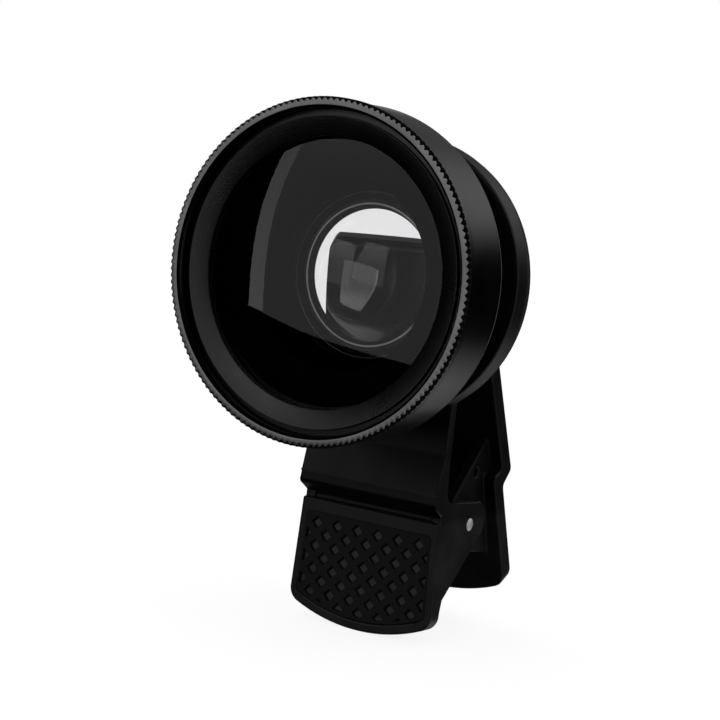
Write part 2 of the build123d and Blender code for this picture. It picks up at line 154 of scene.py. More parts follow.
# %% Softbox
box_forward = Vector((-0.4216, -0.9041, 0.0698))
box_left = box_forward.cross(Vector((0, 0, 1))).normalized()
box_up = box_left.cross(box_forward)
box_distance = 450.0
bow_places = [(136.0, -97.7), (129.7, 7.3), (100.0, 110.0), (78.0, 200.0), (66.0, 320.0)]
right_side, right_foot = -240.0, -168.0
foot_places = [(-108.4, -146.4), (-69.7, -139.6), (-11.8, -130.7), (61.5, -117.2)]
sheet_glow, sheet_rise = (0.42, 0.85), (40.0, 200.0)
strip_glow, strip_rise = (1.05, 0.80), (-100.0, 100.0)
strip_foot, strip_top, strip_drop = 21.6, 14.7, 4.0


def smooth_curve(places, steps=4):
    """A curve that goes through all the places, with the given number of steps between two of them."""
    held = [Vector(place) for place in (places[0], *places, places[-1])]
    curve = []
    for before, start, end, after in zip(held, held[1:], held[2:], held[3:]):
        for k in range(steps):
            t = k / steps
            curve.append(tuple(start + (end - before) * (t / 2)
                               + (2 * before - 5 * start + 4 * end - after) * (t**2 / 2)
                               + (3 * (start - end) + after - before) * (t**3 / 2)))
    return curve + [tuple(places[-1])]


def glow_sheet(name, outline, nearness, glow, rise):
    """A glowing polygon of (left, up) places in millimetres, moved nearer by the given amount.

    Its glow goes from the first level to the second between the two heights of the rise.
    """
    mesh = bpy.data.meshes.new(name)
    mesh.from_pydata([(left * MM, up * MM, 0) for left, up in outline], [], [range(len(outline))])
    sheet = bpy.data.objects.new(name, mesh)
    bpy.context.scene.collection.objects.link(sheet)
    turn = Matrix((box_left, box_up, -box_forward)).transposed().to_4x4()
    sheet.matrix_world = Matrix.Translation(box_forward * (box_distance - nearness) * MM) @ turn
    look = bpy.data.materials.new(name)
    look.use_nodes = True
    tree = look.node_tree
    tree.nodes.clear()
    place = node(tree, "ShaderNodeTexCoord").outputs["Object"]
    up = node(tree, "ShaderNodeSeparateXYZ", Vector=place).outputs["Y"]
    strength = ramp(tree, up, rise[0] * MM, rise[1] * MM, *glow)
    light = node(tree, "ShaderNodeEmission", Strength=strength).outputs[0]
    tree.links.new(light, node(tree, "ShaderNodeOutputMaterial").inputs["Surface"])
    mesh.materials.append(look)
    sheet.visible_camera = False


def softbox():
    """The main sheet, and just in front of it the strip along its left side."""
    left_side = smooth_curve(bow_places)
    right = [(right_side, bow_places[-1][1]), (right_side, right_foot)]
    glow_sheet("softbox", left_side + right + foot_places, 0, sheet_glow, sheet_rise)
    narrowing = (strip_foot - strip_top) / (len(left_side) - 1)
    inner = [(left - strip_foot + narrowing * k, up) for k, (left, up) in enumerate(left_side)]
    inner[0] = (inner[0][0], inner[0][1] - strip_drop)
    glow_sheet("softbox_strip", left_side + inner[::-1], 1, strip_glow, strip_rise)
    print("softbox", len(left_side), "places along its bowed side")


softbox()

# %% [markdown]
# The world is the room that reflections show where they miss the softbox. Its back is bright above and
# below a dark band, which draws the two highlights along the barrel, and in a low gap on the left; a
# lamp on the right lights the clip's side. The Light Path node tells which kind of ray asks, so the
# camera, and glass that is looked through, get plain white instead, and diffuse light an even level.

# %% World
back_glow, low_glow, gap_glow, side_glow, room_light = 0.62, 0.56, 0.5, 0.38, 0.55
back_rise, low_rise = (radians(9), radians(21)), (radians(14), radians(31))
left_share, left_fade = 0.25, 0.22
gap_level, gap_right, gap_left = (0.28, 0.10), (0.10, -0.04), (-0.85, -0.62)
side_rise, behind_rise = (0.80, 0.97), (0.0, 0.5)


def make_world():
    """White for the camera and through glass, and a room with a bright back for reflections."""
    world = bpy.data.worlds.new("studio")
    bpy.context.scene.world = world
    world.use_nodes = True
    world.cycles.sampling_method = "NONE"
    tree = world.node_tree
    tree.nodes.clear()
    ray = node(tree, "ShaderNodeLightPath").outputs
    direction = node(tree, "ShaderNodeTexCoord").outputs["Generated"]
    away = node(tree, "ShaderNodeSeparateXYZ", Vector=direction).outputs
    less_left = ramp(tree, away["X"], left_fade, -left_fade, 1.0, left_share)
    above = ramp(tree, away["Z"], sin(back_rise[0]), sin(back_rise[1]), 0.0, back_glow)
    below = ramp(tree, away["Z"], -sin(low_rise[0]), -sin(low_rise[1]), 0.0, low_glow)
    rows = maths(tree, "MULTIPLY", maths(tree, "MAXIMUM", above, below), less_left)
    gap = maths(tree, "MULTIPLY", ramp(tree, away["X"], *gap_right, 0.0, gap_glow),
                ramp(tree, maths(tree, "ABSOLUTE", away["Z"]), *gap_level))
    gap = maths(tree, "MULTIPLY", gap, ramp(tree, away["X"], *gap_left))
    behind = maths(tree, "MULTIPLY", maths(tree, "MAXIMUM", rows, gap), ramp(tree, away["Y"], *behind_rise))
    side = ramp(tree, away["X"], *side_rise, 0.0, side_glow)
    mirrored = maths(tree, "MAXIMUM", behind, side)
    mirror_first = maths(tree, "GREATER_THAN", ray["Glossy Depth"], 0.5)
    looked_through = maths(tree, "SUBTRACT", ray["Is Transmission Ray"], mirror_first)
    seen = maths(tree, "MAXIMUM", ray["Is Camera Ray"], looked_through)
    glossy = maths(tree, "MULTIPLY", mirror_first, mirrored)
    diffuse = maths(tree, "MULTIPLY", ray["Is Diffuse Ray"], room_light)
    strength = maths(tree, "ADD", seen, maths(tree, "ADD", glossy, diffuse))
    glow = node(tree, "ShaderNodeBackground", Color=(1, 1, 1, 1), Strength=strength)
    end = node(tree, "ShaderNodeOutputWorld")
    tree.links.new(glow.outputs[0], end.inputs["Surface"])
    print("world", len(tree.nodes), "nodes")


make_world()

# %% [markdown]
# The floor is as white as the background, and keeps a faint shadow where the handle comes near it.
# Reflections pass through it, so that it hides neither the softbox nor the bright back of the room, and
# it is clear from below.

# %% Floor
floor_half = 3000.0
floor_glow, floor_grey = 0.86, 0.30


def make_floor():
    lowest, half = cad_box[0][2], floor_half * MM
    mesh = bpy.data.meshes.new("floor")
    corners = [(-half, -half, lowest), (half, -half, lowest), (half, half, lowest), (-half, half, lowest)]
    mesh.from_pydata(corners, [], [(0, 1, 2, 3)])
    floor = bpy.data.objects.new("floor", mesh)
    bpy.context.scene.collection.objects.link(floor)
    look = bpy.data.materials.new("white_sweep")
    look.use_nodes = True
    tree = look.node_tree
    tree.nodes.clear()
    ray = node(tree, "ShaderNodeLightPath").outputs
    seen = maths(tree, "MAXIMUM", ray["Is Camera Ray"], ray["Is Transmission Ray"])
    white = node(tree, "ShaderNodeEmission", Strength=maths(tree, "MULTIPLY", seen, floor_glow)).outputs[0]
    shade = node(tree, "ShaderNodeBsdfDiffuse", Color=(floor_grey, floor_grey, floor_grey, 1)).outputs[0]
    both = node(tree, "ShaderNodeAddShader", i0=white, i1=shade).outputs[0]
    clear = node(tree, "ShaderNodeBsdfTransparent").outputs[0]
    underside = node(tree, "ShaderNodeNewGeometry").outputs["Backfacing"]
    passing = maths(tree, "MAXIMUM", ray["Is Glossy Ray"], ray["Is Shadow Ray"])
    passing = maths(tree, "MAXIMUM", passing, underside)
    mix = node(tree, "ShaderNodeMixShader", i0=passing, i1=both, i2=clear).outputs[0]
    tree.links.new(mix, node(tree, "ShaderNodeOutputMaterial").inputs["Surface"])
    mesh.materials.append(look)
    print("floor", round(-lowest / MM, 2), "mm below the lens axis")


make_floor()
bpy.context.scene.view_settings.view_transform = "Standard"

# %% [markdown]
# ## Finishes
# Every finish is a Principled shader whose colour, roughness and relief vary with the place on the
# piece, measured in metres, so the grain has its real size. A constant goes straight on the shader.

# %% Finish builder
noise_low, noise_high = 0.3, 0.7
slow_size, slow_part = 6.0, 0.6
cool_tint = 1.05


def new_look(name):
    """An empty material with a Principled shader on its output."""
    look = bpy.data.materials.new(name)
    look.use_nodes = True
    tree = look.node_tree
    tree.nodes.clear()
    shader = tree.nodes.new("ShaderNodeBsdfPrincipled")
    end = tree.nodes.new("ShaderNodeOutputMaterial")
    tree.links.new(shader.outputs[0], end.inputs["Surface"])
    return look, tree, shader


def noise(tree, vector, size, detail=3.0, roughness=0.5):
    """Noise with features of about the given size in millimetres."""
    return node(tree, "ShaderNodeTexNoise", Vector=vector, Scale=1 / (size * MM), Detail=detail,
                Roughness=roughness).outputs["Fac"]


def tinted(tree, value, dark, light):
    """A grey that goes from dark to light with the value, with an even tint of cool blue."""
    level = node(tree, "ShaderNodeMapRange", Value=value, From_Min=noise_low, From_Max=noise_high,
                 To_Min=dark, To_Max=light).outputs[0]
    blue = maths(tree, "MULTIPLY", level, cool_tint)
    return node(tree, "ShaderNodeCombineColor", Red=level, Green=level, Blue=blue).outputs[0]


def grained(name, dark, light, smooth, rough, grain, relief, metallic=0.0, specular=0.5, painted_light_below=None):
    """A finish with a fine grain in relief, and a slow change of colour and roughness over the piece.

    The last argument gives two heights and a factor: below them the colour is that much lighter, painted
    light for a handle that shows lighter than the shaded sheet.
    """
    look, tree, shader = new_look(name)
    place = node(tree, "ShaderNodeTexCoord").outputs["Object"]
    slow = noise(tree, place, slow_size, 2.0)
    fine = noise(tree, place, grain, 2.0, 0.6)
    shader.inputs["Metallic"].default_value = metallic
    shader.inputs["Specular IOR Level"].default_value = specular
    colour = tinted(tree, slow, dark, light)
    if painted_light_below:
        height = node(tree, "ShaderNodeSeparateXYZ", Vector=place).outputs["Z"]
        lighter = ramp(tree, height, painted_light_below[0] * MM, painted_light_below[1] * MM, painted_light_below[2], 1.0)
        scale = {"operation": "SCALE"}
        colour = node(tree, "ShaderNodeVectorMath", scale, i0=colour, Scale=lighter).outputs[0]
    tree.links.new(colour, shader.inputs["Base Color"])
    uneven = maths(tree, "ADD", maths(tree, "MULTIPLY", slow, slow_part),
                   maths(tree, "MULTIPLY", fine, 1 - slow_part))
    tree.links.new(ramp(tree, uneven, noise_low, noise_high, smooth, rough), shader.inputs["Roughness"])
    bump = node(tree, "ShaderNodeBump", Strength=1.0, Distance=relief * MM, Height=fine)
    tree.links.new(bump.outputs[0], shader.inputs["Normal"])
    return look


# %% [markdown]
# Each line gives a finish's darkest and lightest grey, its smoothest and roughest place, the size of its
# grain and the height of that grain, both in millimetres. The blacks differ in little but their
# roughness and grain, as anodised metal, sand-blasted metal, moulded plastic and rubber do.

# %% Finishes
barrel_black = grained("barrel_black", 0.0012, 0.0022, 0.20, 0.26, 0.12, 0.0008)
notch_black = grained("notch_black", 0.0010, 0.0020, 0.55, 0.65, 0.12, 0.0010, specular=0.15)
blasted_black = grained("blasted_black", 0.0006, 0.0010, 0.26, 0.34, 0.24, 0.036, specular=0.8)
# moulded_black is painted lighter on the handles below the sheet: painted light, as the sheet above them lies
# in shade.
moulded_black = grained("moulded_black", 0.0030, 0.0050, 0.36, 0.46, 0.20, 0.0035, specular=0.42,
                        painted_light_below=(-38.2, -36.4, 4.2))
grip_black = grained("grip_black", 0.0055, 0.0090, 0.58, 0.72, 0.14, 0.008)
pad_black = grained("pad_black", 0.0060, 0.0095, 0.55, 0.70, 0.12, 0.006)
paint_black = grained("paint_black", 0.0010, 0.0020, 0.60, 0.75, 0.20, 0.004, specular=0.0)
# The pocket floors' lighter grey is a painted sheen on smoother rubber.
floor_black = grained("floor_black", 0.032, 0.046, 0.30, 0.42, 0.14, 0.004, specular=0.8)
inner_grey = grained("inner_grey", 0.030, 0.045, 0.30, 0.42, 0.30, 0.004)
# The near-white edge finish is a painted highlight on the front edge of the macro ring's bore.
edge_bright = grained("edge_bright", 0.70, 0.85, 0.30, 0.42, 0.30, 0.002, metallic=0.3)
# The light grey on the mouth of the macro collar is a painted highlight for the faint arc seen through the
# glasses.
cut_grey = grained("cut_grey", 0.10, 0.16, 0.30, 0.42, 0.10, 0.002, metallic=0.3)
rivet_steel = grained("rivet_steel", 0.80, 0.92, 0.38, 0.50, 0.25, 0.004, metallic=0.4)
wire_steel = grained("wire_steel", 0.38, 0.50, 0.20, 0.34, 0.20, 0.004, metallic=1.0)


# %% [markdown]
# The front of the rim is cut bright after the barrel was blackened. The tool leaves fine rings round the
# lens axis, so its grain is a noise of the distance from that axis alone.

# %% Cut rim
ring_spacing, ring_relief = 0.05, 0.0012
rim_grey, rim_roughness = (0.27, 0.36), (0.22, 0.34)


def cut_rim_finish():
    """Bright metal with fine turned rings round the lens axis."""
    look, tree, shader = new_look("cut_rim")
    place = node(tree, "ShaderNodeTexCoord").outputs["Object"]
    flat = node(tree, "ShaderNodeVectorMath", {"operation": "MULTIPLY"}, i0=place, i1=(1, 0, 1)).outputs[0]
    radius = node(tree, "ShaderNodeVectorMath", {"operation": "LENGTH"}, i0=flat).outputs["Value"]
    rings = node(tree, "ShaderNodeTexNoise", {"noise_dimensions": "1D"}, W=radius,
                 Scale=1 / (ring_spacing * MM), Detail=2.0).outputs["Fac"]
    slow = noise(tree, place, 5.0, 2.0)
    shader.inputs["Metallic"].default_value = 1.0
    tree.links.new(tinted(tree, slow, *rim_grey), shader.inputs["Base Color"])
    tree.links.new(ramp(tree, rings, noise_low, noise_high, *rim_roughness), shader.inputs["Roughness"])
    bump = node(tree, "ShaderNodeBump", Strength=1.0, Distance=ring_relief * MM, Height=rings)
    tree.links.new(bump.outputs[0], shader.inputs["Normal"])
    return look


cut_rim = cut_rim_finish()


# %% [markdown]
# The two lenses are clear glass with real refraction, because what shows through them, a white
# crescent, the dark jaw and the ring of the macro lens, is made by their curves. The back face of the
# macro glass has a coating that mirrors more, and gives the soft second picture of the softbox.

# %% Lens glass
glass_index, coat_index = 1.52, 1.85
glass_grey = (0.990, 1.0)


def glass_finish(name, coat=0.0):
    """Clear glass, with the given weight of a mirroring coat."""
    look, tree, shader = new_look(name)
    values = {"Roughness": 0.0, "Transmission Weight": 1.0, "IOR": glass_index,
              "Coat Weight": coat, "Coat IOR": coat_index}
    for label, value in values.items():
        shader.inputs[label].default_value = value
    place = node(tree, "ShaderNodeTexCoord").outputs["Object"]
    tree.links.new(tinted(tree, noise(tree, place, slow_size), *glass_grey), shader.inputs["Base Color"])
    return look


lens_clear = glass_finish("lens_clear")
lens_coated = glass_finish("lens_coated", coat=1.0)
print("materials:", sorted(look.name for look in bpy.data.materials))

# %% [markdown]
# ## Turned pieces
# Barrels, rings and lenses are turned on a lathe. A half section of the piece, with each corner
# rounded, is swept round the lens axis. The function below makes the section's round corners, and the
# next one turns it.

# %% Sections with round corners
corner_reach = 0.45


def rounded(section, steps=3):
    """Points (radius, y, corner) become points (radius, y): each corner is cut back by its third value."""
    points = []
    for i, (r, y, *corner) in enumerate(section):
        size = corner[0] if corner else 0.0
        if size == 0:
            points.append((r, y))
            continue
        here = Vector((r, y))
        before = Vector(section[i - 1][:2]) - here
        after = Vector(section[(i + 1) % len(section)][:2]) - here
        start = here + before.normalized() * min(size, before.length * corner_reach)
        stop = here + after.normalized() * min(size, after.length * corner_reach)
        for k in range(steps + 1):
            t = k / steps
            points.append(tuple(start * (1 - t) ** 2 + here * 2 * t * (1 - t) + stop * t**2))
    return points


# %% [markdown]
# A Screw modifier could turn a section too. Here a loop works out the corners instead, so that one
# function can move a corner by its angle, which cuts notches and threads, and another can choose the
# finish of each face, which blackens the edge of a glass.

# %% Lathe
def new_piece(name, mesh, *looks):
    """An object for the mesh, with its materials in the order given."""
    piece = bpy.data.objects.new(name, mesh)
    bpy.context.scene.collection.objects.link(piece)
    for look in looks:
        mesh.materials.append(look)
    return piece


def smooth(mesh, angle=32):
    """Smooth shading that keeps the edges sharper than the angle."""
    mesh.shade_smooth()
    mesh.set_sharp_from_angle(angle=radians(angle))


def turned(name, section, segments, closed=True, change=None, look_of=None):
    """Sweeps a section round the lens axis.

    change(radius, y, angle) may move a point in or out, and look_of(point, next point) may choose a finish.
    """
    ring_count = len(section)
    verts, rings = [], []
    for r, y in section:
        if r == 0:
            rings.append([len(verts)] * segments)
            verts.append((0, y * MM, 0))
            continue
        rings.append(range(len(verts), len(verts) + segments))
        for k in range(segments):
            angle = 2 * pi * k / segments
            radius = change(r, y, angle) if change else r
            verts.append((radius * cos(angle) * MM, y * MM, radius * sin(angle) * MM))
    faces, kinds = [], []
    for i in range(ring_count if closed else ring_count - 1):
        one, two = rings[i], rings[(i + 1) % ring_count]
        for k in range(segments):
            j = (k + 1) % segments
            faces.append(list(dict.fromkeys((one[k], one[j], two[j], two[k]))))
            kinds.append(look_of(section[i], section[(i + 1) % ring_count]) if look_of else 0)
    mesh = bpy.data.meshes.new(name)
    mesh.from_pydata(verts, [], faces)
    mesh.polygons.foreach_set("material_index", kinds)
    face_out(mesh)
    smooth(mesh)
    return mesh


def face_out(mesh):
    """Makes the faces of a closed mesh point outwards."""
    shape = bmesh.new()
    shape.from_mesh(mesh)
    bmesh.ops.recalc_face_normals(shape, faces=shape.faces)
    if shape.calc_volume(signed=True) < 0:
        bmesh.ops.reverse_faces(shape, faces=shape.faces)
    shape.to_mesh(mesh)
    shape.free()


def dress(piece, body, slot, *replaced):
    """A finished piece rides on its body and stands for the plain solids. The slot is not used."""
    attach(piece, body)
    if replaced:
        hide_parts(*replaced)
    print(piece.name, len(piece.data.polygons), "faces on", body)


def span(name):
    """Lowest and highest corner of a solid of the frame, in millimetres."""
    low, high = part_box(name)
    return Vector(low) / MM, Vector(high) / MM


# %% [markdown]
# ## Wide barrel
# The wide barrel is one turned piece with 156 V-shaped notches rolled into the front edge of its rim.
# One narrow sector of it holds one notch, and Geometry Nodes repeat that sector round the axis, weld the
# seams and give the cut front of the rim and the notches their own finishes. The same tree can make any
# piece with equal teeth.

# %% Tree that repeats a sector
def link_tree(name, sockets):
    """A geometry tree with its named inputs, and the two ends of it."""
    tree = bpy.data.node_groups.new(name, "GeometryNodeTree")
    tree.interface.new_socket("Geometry", in_out="INPUT", socket_type="NodeSocketGeometry")
    for label, kind in sockets:
        tree.interface.new_socket(label, in_out="INPUT", socket_type=kind)
    tree.interface.new_socket("Geometry", in_out="OUTPUT", socket_type="NodeSocketGeometry")
    return tree, node(tree, "NodeGroupInput").outputs, node(tree, "NodeGroupOutput")


def ring_of_sectors():
    """The tree that repeats a sector round the lens axis and gives its faces their finishes."""
    inputs = [("Count", "NodeSocketInt"), ("Weld", "NodeSocketFloat"), ("Face", "NodeSocketFloat"),
              ("Body finish", "NodeSocketMaterial"), ("Front finish", "NodeSocketMaterial"),
              ("Notch finish", "NodeSocketMaterial")]
    tree, given, end = link_tree("ring_of_sectors", inputs)
    points = node(tree, "GeometryNodePoints", Count=given["Count"]).outputs[0]
    step = maths(tree, "DIVIDE", 2 * pi, given["Count"])
    turn = maths(tree, "MULTIPLY", node(tree, "GeometryNodeInputIndex").outputs[0], step)
    turned_by = node(tree, "ShaderNodeCombineXYZ", Y=turn).outputs[0]
    copies = node(tree, "GeometryNodeInstanceOnPoints", Points=points, Instance=given["Geometry"],
                  Rotation=turned_by).outputs[0]
    real = node(tree, "GeometryNodeRealizeInstances", Geometry=copies).outputs[0]
    welded = node(tree, "GeometryNodeMergeByDistance", Geometry=real, Distance=given["Weld"]).outputs[0]
    body = node(tree, "GeometryNodeSetMaterial", Geometry=welded, Material=given["Body finish"]).outputs[0]
    place = node(tree, "GeometryNodeInputPosition").outputs[0]
    depth = node(tree, "ShaderNodeSeparateXYZ", Vector=place).outputs["Y"]
    in_front = node(tree, "FunctionNodeCompare", {"operation": "LESS_THAN"}, A=depth,
                    B=given["Face"]).outputs[0]
    cut = node(tree, "GeometryNodeSetMaterial", Geometry=body, Selection=in_front,
               Material=given["Front finish"]).outputs[0]
    marked = node(tree, "GeometryNodeInputNamedAttribute", {"data_type": "BOOLEAN"},
                  Name="in_notch").outputs[0]
    done = node(tree, "GeometryNodeSetMaterial", Geometry=cut, Selection=marked,
                Material=given["Notch finish"]).outputs[0]
    tree.links.new(done, end.inputs[0])
    return tree


def grown(piece, tree, **values):
    """Runs a geometry tree on a piece with the named inputs, and leaves a plain mesh."""
    step = piece.modifiers.new(tree.name, "NODES")
    step.node_group = tree
    for item in tree.interface.items_tree:
        if item.in_out == "INPUT" and item.name.replace(" ", "_") in values:
            step[item.identifier] = values[item.name.replace(" ", "_")]
    return settled(piece)


def settled(piece):
    """Turns what the modifiers make into a plain mesh, and removes the modifiers."""
    graph = bpy.context.evaluated_depsgraph_get()
    mesh = bpy.data.meshes.new_from_object(piece.evaluated_get(graph), depsgraph=graph)
    piece.modifiers.clear()
    piece.data = mesh
    return piece


sector_tree = ring_of_sectors()

# %% [markdown]
# The barrel's half section starts at its back and goes round it. Sizes are in millimetres, and what
# touches another piece is taken from the frame, so the finished piece still fits when the part changes.
# The inside has the fine thread for a filter, the groove where that thread ends, the seat of the glass
# and the socket for the macro lens.

# %% Barrel section
rim_front, barrel_back = span("wide_barrel")[0].y, span("wide_barrel")[1].y
rim_r, barrel_r, barrel_chamfer = 25.75, 25.5, 0.4
neck_r, neck_front, shoulder_front = 19.9, -14.1, -17.3
rim_length, notch_count, notch_run, notch_floor_r, notch_width = 1.5, 156, 0.55, 25.1, 0.74
face_r, face_inner_r, rim_bevel, inner_bevel = 25.5, 24.5, 0.25, 0.35
thread_r, thread_end, relief = 24.1, 1.2, 0.25
bezel_step = 2.0
glass_back, glass_pocket = span("front_lens")[1].y, 7.15
glass_r = span("front_lens")[1].x
glass_seat_r, socket_r, collar_front = 19.6, 16.65, span("macro_barrel")[0].y
gap = 0.02


def filter_thread(start, end, radius, pitch=0.75, depth=0.16, land=0.12):
    """V grooves of a fine thread along a bore, as section points."""
    points = []
    y = start
    while y + pitch / 2 < end:
        points += [(radius, y), (radius + depth, y + pitch / 4), (radius, y + pitch / 2)]
        y += pitch / 2 + land
    return points


barrel_section = rounded([
    (socket_r, barrel_back, 0.15),
    (neck_r, barrel_back, 0.15),
    (neck_r, neck_front, 0.5),
    (barrel_r - barrel_chamfer, shoulder_front, 0.24),
    (barrel_r, shoulder_front - barrel_chamfer, 0.42),
    (barrel_r, rim_front + rim_length),
    (rim_r, rim_front + rim_length, 0.04),
    (rim_r, rim_front + notch_run),
    (rim_r, rim_front + rim_bevel, 0.05),
    (face_r, rim_front, 0.04),
    (face_inner_r, rim_front, 0.05),
    (thread_r, rim_front + inner_bevel, 0.04),
    *filter_thread(rim_front + inner_bevel + gap, rim_front + thread_end - 0.05, thread_r),
    (thread_r, rim_front + thread_end),
    (thread_r + relief, rim_front + thread_end),
    (thread_r + relief, rim_front + bezel_step),
    (thread_r, rim_front + bezel_step),
    (thread_r, glass_back - glass_pocket),
    (glass_r + gap, glass_back - glass_pocket),
    (glass_r + gap, glass_back + gap),
    (glass_seat_r, glass_back + gap, 0.1),
    (socket_r, collar_front - gap, 0.1),
])
print("barrel section:", len(barrel_section), "points")

# %% [markdown]
# Cutting the notches with a Boolean modifier would be slow and leave thin faces. The sector has five
# columns of corners instead, and the middle one is pulled in along the rim, which makes one V notch. It
# is deepest at the front and runs out on the rim behind it, so the outline stays round.

# %% Barrel sector
near, weld, cut_depth = 0.06, 0.002, 0.03


def barrel_sector():
    """One notch's share of the barrel: the section at five angles, pulled in along the notch."""
    half_pitch = pi / notch_count
    half_notch = notch_width / 2 / rim_r
    angles = (-half_pitch, -half_notch, 0.0, half_notch, half_pitch)
    on_rim = [r > face_r - near and y < rim_front + notch_run + near for r, y in barrel_section]
    verts, faces, in_notch = [], [], []
    for (r, y), notched in zip(barrel_section, on_rim):
        for angle in angles:
            share = max(0.0, 1 - abs(angle) / half_notch) if notched else 0.0
            floor = notch_floor_r + (rim_r - notch_floor_r) * (y - rim_front) / notch_run
            radius = r - (r - min(r, floor)) * share
            verts.append((radius * cos(angle) * MM, y * MM, radius * sin(angle) * MM))
    count, columns = len(barrel_section), len(angles)
    for i in range(count):
        j = (i + 1) % count
        for k in range(columns - 1):
            faces.append((i * columns + k, i * columns + k + 1, j * columns + k + 1, j * columns + k))
            in_notch.append(on_rim[i] and on_rim[j] and k in (1, 2))
    mesh = bpy.data.meshes.new("barrel_shell")
    mesh.from_pydata(verts, [], faces)
    mesh.attributes.new("in_notch", "BOOLEAN", "FACE").data.foreach_set("value", in_notch)
    return new_piece("barrel_shell", mesh)


barrel_shell = barrel_sector()
grown(barrel_shell, sector_tree, Count=notch_count, Weld=weld * MM, Face=(rim_front + cut_depth) * MM,
      Body_finish=barrel_black, Front_finish=cut_rim, Notch_finish=notch_black)
face_out(barrel_shell.data)
smooth(barrel_shell.data, 24)
dress(barrel_shell, "wide_body", "barrel_metal", "wide_barrel")

# %% [markdown]
# ## Bevelled ring
# The ring that holds the front glass has a flat step, a thin lip and a wide sand-blasted bevel. It is
# a plain turned piece; the thin light line round it in the photograph is the rounded top of its lip.

# %% Bevelled ring
bezel_front, bezel_back = span("front_retaining_ring")[0].y, span("front_retaining_ring")[1].y
bezel_outer_r, bezel_lip_r, bezel_inner_r, bezel_inner_depth = 24.05, 23.05, 20.15, 2.2
front_segments = 2 * notch_count
bezel_section = rounded([
    (bezel_outer_r, bezel_back, 0.05),
    (bezel_outer_r, rim_front + bezel_step, 0.08),
    (bezel_lip_r, rim_front + bezel_step, 0.1),
    (bezel_lip_r, bezel_front, 0.09),
    (bezel_inner_r, rim_front + bezel_inner_depth, 0.10),
    (bezel_inner_r, bezel_back, 0.05),
], steps=4)
bezel = new_piece("bezel", turned("bezel", bezel_section, front_segments), blasted_black)
dress(bezel, "wide_optic", "bezel_metal", "front_retaining_ring")


# %% [markdown]
# ## Glasses
# Each glass face is part of a sphere. The front glass is a strong negative lens: gently domed in front,
# with a deep bowl ground into its back, and black paint on its rim and back ledge against stray light.
# The macro glass is a plain biconvex lens. The faces are turned finely, as refraction shows every facet.

# %% Spherical faces
def cap(vertex, radius, half_width, direction, count=30):
    """Section points of a spherical face, from the axis to its rim. direction is the way it falls back."""
    points = []
    for k in range(count + 1):
        r = half_width * sin(pi / 2 * k / count)
        points.append((r, vertex + direction * (radius - sqrt(radius**2 - r**2))))
    return points


# %% [markdown]
# The section of the front glass runs from the axis over the dome, round the edge and back through the
# bowl to the axis, so its two ends need no face between them. The paint is a second finish on some of its
# faces: a skin of its own would lie exactly on the glass, and two faces in one place spoil a render.

# %% Front glass
front_face_r, bowl_face_r, bowl_half = 160.0, 20.0, 14.2
glass_chamfer, bowl_land = 0.1, 0.12
paint_gap = 0.02
front_vertex = span("front_lens")[0].y
bowl_vertex = glass_back - (bowl_face_r - sqrt(bowl_face_r**2 - bowl_half**2))


def front_glass():
    """The front glass, with black paint on its edge and its back ledge."""
    front = cap(front_vertex, front_face_r, glass_r - glass_chamfer, 1)
    bowl = cap(bowl_vertex, bowl_face_r, bowl_half, 1)
    front_edge = front[-1][1]
    edge = [(glass_r, front_edge + glass_chamfer), (glass_r, glass_back - glass_chamfer),
            (glass_r - glass_chamfer, glass_back), (bowl_half + bowl_land, glass_back)]

    def painted(one, two):
        """1 where a face of the glass is painted black."""
        middle_r, middle_y = (one[0] + two[0]) / 2, (one[1] + two[1]) / 2
        return int(middle_r > bowl_half + paint_gap and middle_y > front_edge + paint_gap)

    mesh = turned("front_glass", front + edge + bowl[::-1], front_segments, closed=False, look_of=painted)
    return new_piece("front_glass", mesh, lens_clear, paint_black)


front_glass_piece = front_glass()
dress(front_glass_piece, "wide_optic", "lens_glass", "front_lens")

# %% [markdown]
# The macro glass is turned in the same way, with three finishes: clear in front, blackened on its ground
# edge, and coated behind. The coat is a layer of the shader itself, so it needs no second shell.

# %% Macro glass
macro_face_r, macro_chamfer, macro_segments = 40.0, 0.08, 240
macro_r = span("macro_lens")[1].x
macro_front, macro_back = span("macro_lens")[0].y, span("macro_lens")[1].y


def macro_glass():
    """The macro glass, with a blackened edge and a coated back."""
    front = cap(macro_front, macro_face_r, macro_r - macro_chamfer, 1)
    back = cap(macro_back, macro_face_r, macro_r - macro_chamfer, -1)
    edge = [(macro_r, front[-1][1] + macro_chamfer), (macro_r, back[-1][1] - macro_chamfer)]

    def ground(one, two):
        """1 on the blackened edge of the glass, 2 on its coated back."""
        if (one[0] + two[0]) / 2 > macro_r - 0.75 * macro_chamfer:
            return 1
        return 2 if one[1] > (macro_front + macro_back) / 2 else 0

    mesh = turned("macro_glass", front + edge + back[::-1], macro_segments, closed=False, look_of=ground)
    return new_piece("macro_glass", mesh, lens_clear, paint_black, lens_coated)


macro_glass_piece = macro_glass()
dress(macro_glass_piece, "macro_optic", "lens_glass", "macro_lens")

# %% [markdown]
# A plain ring screws the macro glass down. The rounded front edge of its bore is coloured near white, a
# painted highlight, and shows through both glasses as the bright circle round the opening.

# %% Macro retaining ring
macro_ring_front, macro_ring_back = span("macro_retaining_ring")[0].y, span("macro_retaining_ring")[1].y
macro_aperture_r, ring_edge = 14.2, 0.30


def highlight_edge_faces(one, two):
    """1 on the rounded front edge of the ring's bore, which carries a painted highlight."""
    off_r, off_y = (one[0] + two[0]) / 2 - macro_aperture_r, (one[1] + two[1]) / 2 - macro_ring_front
    return int(off_r < ring_edge and off_y < ring_edge)


